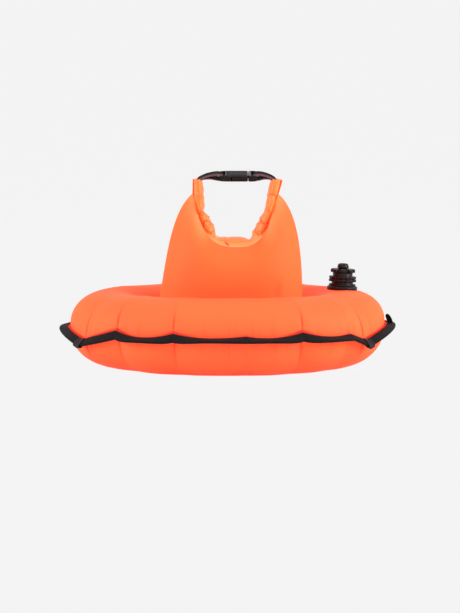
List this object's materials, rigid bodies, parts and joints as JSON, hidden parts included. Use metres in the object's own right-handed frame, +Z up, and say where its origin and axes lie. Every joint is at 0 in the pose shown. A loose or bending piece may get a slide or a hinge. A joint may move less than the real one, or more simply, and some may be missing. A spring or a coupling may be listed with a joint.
{
  "type": "open water swim buoy",
  "caption": "Inflated oval ring float with a roll-top dry bag in its hole, a webbing and side-release buckle carrying handle, and a twist valve.",
  "frame": {"origin": "centre of the ring's outline in plan, on the ground", "axes": "+Z up, +X along the ring's length towards the valve, +Y away from the viewer"},
  "size_m": [0.4416, 0.3378, 0.2585],
  "materials": {
    "ring_nylon": "finely woven orange coated nylon, matt satin",
    "bag_nylon": "finely woven orange coated nylon, satin",
    "binding_tape": "black ribbed tape",
    "webbing": "black woven webbing",
    "buckle_plastic": "glossy black moulding",
    "valve_plastic": "satin black moulding",
    "stiffener_plastic": "plain white strip",
    "seal_rubber": "dark grey rubber"
  },
  "bodies": {
    "float": {"ring_upper_panel": "ring_nylon", "ring_lower_panel": "ring_nylon", "edge_binding": "binding_tape", "leash_loop": "webbing", "bag_wall": "bag_nylon", "bag_floor": "bag_nylon", "roll_collar": "bag_nylon", "mouth_stiffener": "stiffener_plastic", "webbing_left": "webbing", "webbing_right": "webbing", "valve_base": "valve_plastic"},
    "socket": {"buckle_socket": "buckle_plastic"},
    "plug": {"buckle_plug": "buckle_plastic"},
    "arm_front": {"latch_arm_front": "buckle_plastic"},
    "arm_back": {"latch_arm_back": "buckle_plastic"},
    "gasket": {"valve_gasket": "seal_rubber"},
    "insert": {"valve_insert": "valve_plastic", "valve_oring": "seal_rubber"},
    "collar": {"valve_collar": "valve_plastic"},
    "mouthpiece": {"valve_mouthpiece": "valve_plastic"},
    "flap": {"valve_flap": "seal_rubber"}
  },
  "joints": [
    {"name": "plug_slide", "type": "slide", "parent": "float", "child": "plug", "axis": [1, 0, 0], "range_m": [0, 0.01375], "deforming": ["webbing_right", "latch_arm_front", "latch_arm_back"]},
    {"name": "socket_slide", "type": "slide", "parent": "float", "child": "socket", "axis": [-1, 0, 0], "range_m": [0, 0.01375], "deforming": ["webbing_left", "latch_arm_front", "latch_arm_back"]},
    {"name": "latch_front", "type": "hinge", "parent": "plug", "child": "arm_front", "pos_m": [0.0271, -0.00885, 0.24961], "axis": [0, 0.2079, -0.9781], "range_deg": [0, 9.5], "stiffness_Nm_per_rad": 0.4},
    {"name": "latch_back", "type": "hinge", "parent": "plug", "child": "arm_back", "pos_m": [0.0271, 0.00719, 0.25302], "axis": [0, -0.2079, 0.9781], "range_deg": [0, 9.5], "stiffness_Nm_per_rad": 0.4},
    {"name": "valve_rise", "type": "slide", "parent": "float", "child": "gasket", "axis": [0.0451, 0.0188, 0.9988], "range_m": [0, 0.005]},
    {"name": "valve_unscrew", "type": "hinge", "parent": "gasket", "child": "insert", "pos_m": [0.15203, 0.03707, 0.09736], "axis": [0.0451, 0.0188, 0.9988], "range_deg": [0, 720]},
    {"name": "collar_turn", "type": "hinge", "parent": "insert", "child": "collar", "pos_m": [0.15203, 0.03707, 0.09736], "axis": [0.0451, 0.0188, 0.9988], "range_deg": [0, 180]},
    {"name": "mouthpiece_lift", "type": "slide", "parent": "insert", "child": "mouthpiece", "axis": [0.0451, 0.0188, 0.9988], "range_m": [0, 0.004]},
    {"name": "flap_open", "type": "slide", "parent": "insert", "child": "flap", "axis": [-0.0451, -0.0188, -0.9988], "range_m": [0, 0.002], "stiffness_N_per_m": 60}
  ],
  "couplings": [
    {"joint": "socket_slide", "follows": "plug_slide", "ratio": 1},
    {"joint": "valve_rise", "follows": "valve_unscrew", "m_per_rad": 0.00039789},
    {"joint": "mouthpiece_lift", "follows": "collar_turn", "m_per_rad": 0.0012732}
  ]
}
